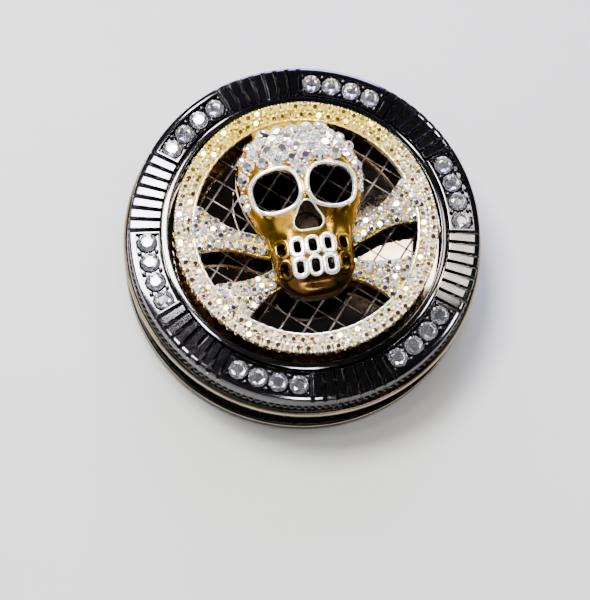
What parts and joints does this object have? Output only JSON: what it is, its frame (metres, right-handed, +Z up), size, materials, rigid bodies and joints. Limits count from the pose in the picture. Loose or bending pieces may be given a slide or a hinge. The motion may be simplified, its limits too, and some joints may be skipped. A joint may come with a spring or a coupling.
{
  "type": "spinner dealer button",
  "caption": "Round jewelled dealer button: a fluted bezel on a heavy round case, with an openwork skull-and-crossbones medallion that spins over a mirror dial on a ball bearing.",
  "frame": {"origin": "on the spin axis, in the plane that the felt pad rests on", "axes": "+Z up along the spin axis; +Y towards the crown of the skull while the medallion is at rest; +X to the skull's left as it is seen from above"},
  "size_m": [0.062, 0.062, 0.0265],
  "materials": {
    "black_nickel": "black-nickel plated zinc casting, mirror polished",
    "dial_mirror": "black mirror plate scored with a diamond lattice",
    "gold_plate": "polished yellow gold plating",
    "pave_gold": "gold plating set all over with tiny white crystals",
    "crystal": "cut crystal with a foiled back",
    "hub_brass": "turned brass",
    "bearing_steel": "ground bearing steel",
    "pressed_steel": "pressed steel",
    "cage_nylon": "moulded nylon",
    "zinc_screw": "zinc-plated steel",
    "black_felt": "black wool felt"
  },
  "bodies": {
    "case": {"base_case": "black_nickel", "bottom_cover": "black_nickel", "bezel_ring": "black_nickel", "inner_lip_ring": "black_nickel", "felt_pad": "black_felt", "dial_plate": "dial_mirror", "bearing_outer_ring": "bearing_steel", "bearing_shield_lower": "pressed_steel", "bearing_shield_upper": "pressed_steel", "bearing_circlip": "pressed_steel", "cover_screw_1": "zinc_screw", "cover_screw_2": "zinc_screw", "cover_screw_3": "zinc_screw", "bezel_crystal_01": "crystal", "bezel_crystal_02": "crystal", "bezel_crystal_03": "crystal", "bezel_crystal_04": "crystal", "bezel_crystal_05": "crystal", "bezel_crystal_06": "crystal", "bezel_crystal_07": "crystal", "bezel_crystal_08": "crystal", "bezel_crystal_09": "crystal", "bezel_crystal_10": "crystal", "bezel_crystal_11": "crystal", "bezel_crystal_12": "crystal", "bezel_crystal_13": "crystal", "bezel_crystal_14": "crystal", "bezel_crystal_15": "crystal", "bezel_crystal_16": "crystal", "bezel_crystal_17": "crystal", "bezel_crystal_18": "crystal", "bezel_crystal_19": "crystal", "bezel_crystal_20": "crystal", "bezel_crystal_21": "crystal", "bezel_crystal_22": "crystal", "bezel_crystal_23": "crystal", "bezel_crystal_24": "crystal"},
    "spinner": {"medallion_frame": "pave_gold", "skull_shell": "gold_plate", "spinner_hub": "hub_brass", "bearing_inner_ring": "bearing_steel", "screw_washer": "pressed_steel", "retaining_screw": "zinc_screw"},
    "ball_train": {"bearing_cage": "cage_nylon", "bearing_ball_1": "bearing_steel", "bearing_ball_2": "bearing_steel", "bearing_ball_3": "bearing_steel", "bearing_ball_4": "bearing_steel", "bearing_ball_5": "bearing_steel", "bearing_ball_6": "bearing_steel", "bearing_ball_7": "bearing_steel"}
  },
  "joints": [
    {"name": "spinner_spin", "type": "hinge", "parent": "case", "child": "spinner", "pos_m": [0, 0, 0.0079], "axis": [0, 0, 1], "continuous": true},
    {"name": "ball_train_orbit", "type": "hinge", "parent": "case", "child": "ball_train", "pos_m": [0, 0, 0.0079], "axis": [0, 0, 1], "continuous": true}
  ],
  "couplings": [
    {"joint": "ball_train_orbit", "follows": "spinner_spin", "ratio": 0.3677}
  ]
}
